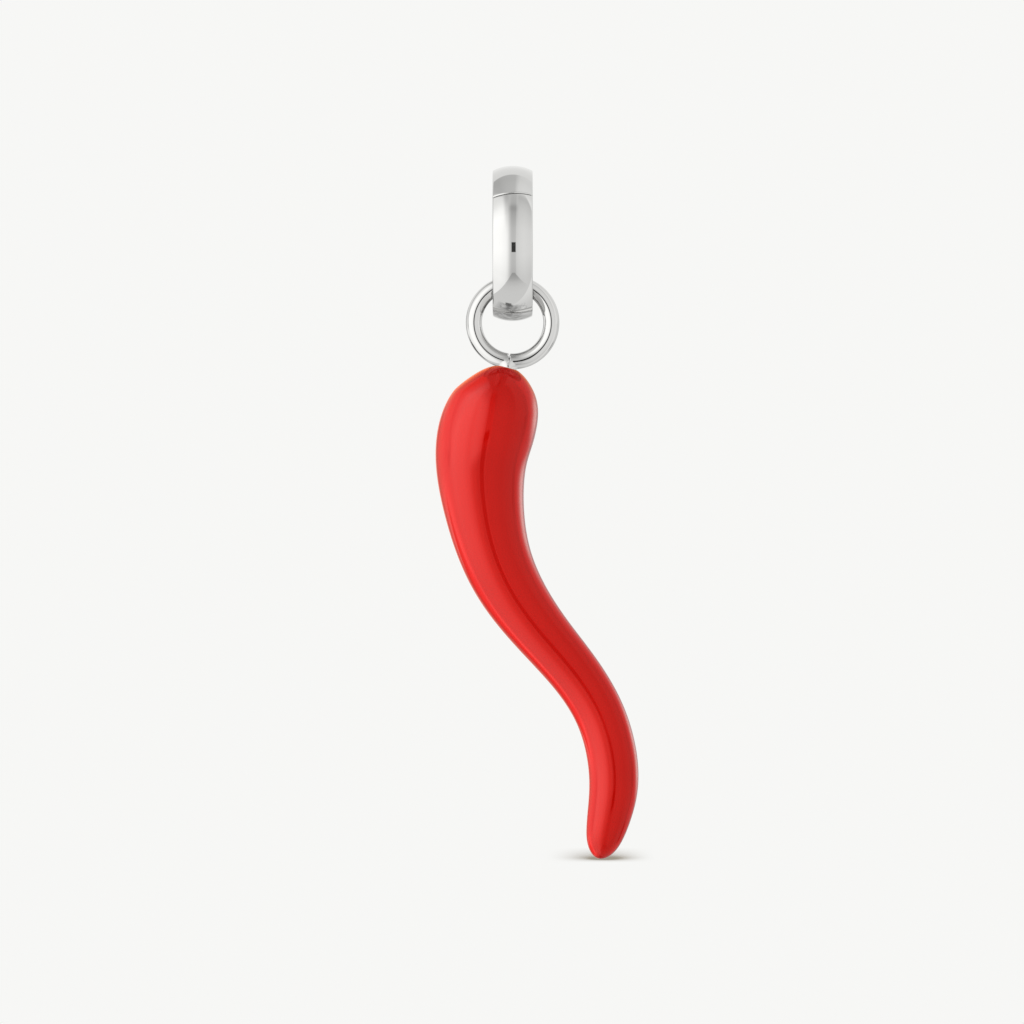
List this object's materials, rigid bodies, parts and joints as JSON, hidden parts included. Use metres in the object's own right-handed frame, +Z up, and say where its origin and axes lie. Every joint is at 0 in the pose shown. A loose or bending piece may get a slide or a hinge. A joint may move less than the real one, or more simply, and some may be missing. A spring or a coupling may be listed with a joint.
{
  "type": "cornicello horn pendant",
  "caption": "Curved red horn charm on a soldered jump ring that swings in a hinged, domed bail, which opens to clip over a chain or cord.",
  "frame": {"origin": "underside of the bail's top, midway along its width, where a chain bears", "axes": "+Z up, opposite to the hanging horn; +X to the right seen from the front, the way the horn's tip points; the seam of the gate faces -Y"},
  "size_m": [0.0132, 0.0102, 0.0452],
  "materials": {
    "steel": "polished",
    "enamel": "gloss enamel"
  },
  "bodies": {
    "bail": {"bail_band": "steel", "hinge_pin": "steel"},
    "gate": {"bail_gate": "steel"},
    "pendant": {"hanging_ring": "steel", "horn": "enamel"}
  },
  "joints": [
    {"name": "gate_hinge", "type": "hinge", "parent": "bail", "child": "gate", "pos_m": [0, 0.00305, -0.00076], "axis": [-1, 0, 0], "range_deg": [0, 42]},
    {"name": "pendant_swing", "type": "hinge", "parent": "bail", "child": "pendant", "pos_m": [0, 0, -0.00656], "axis": [1, 0, 0], "range_deg": [-75, 75]}
  ]
}
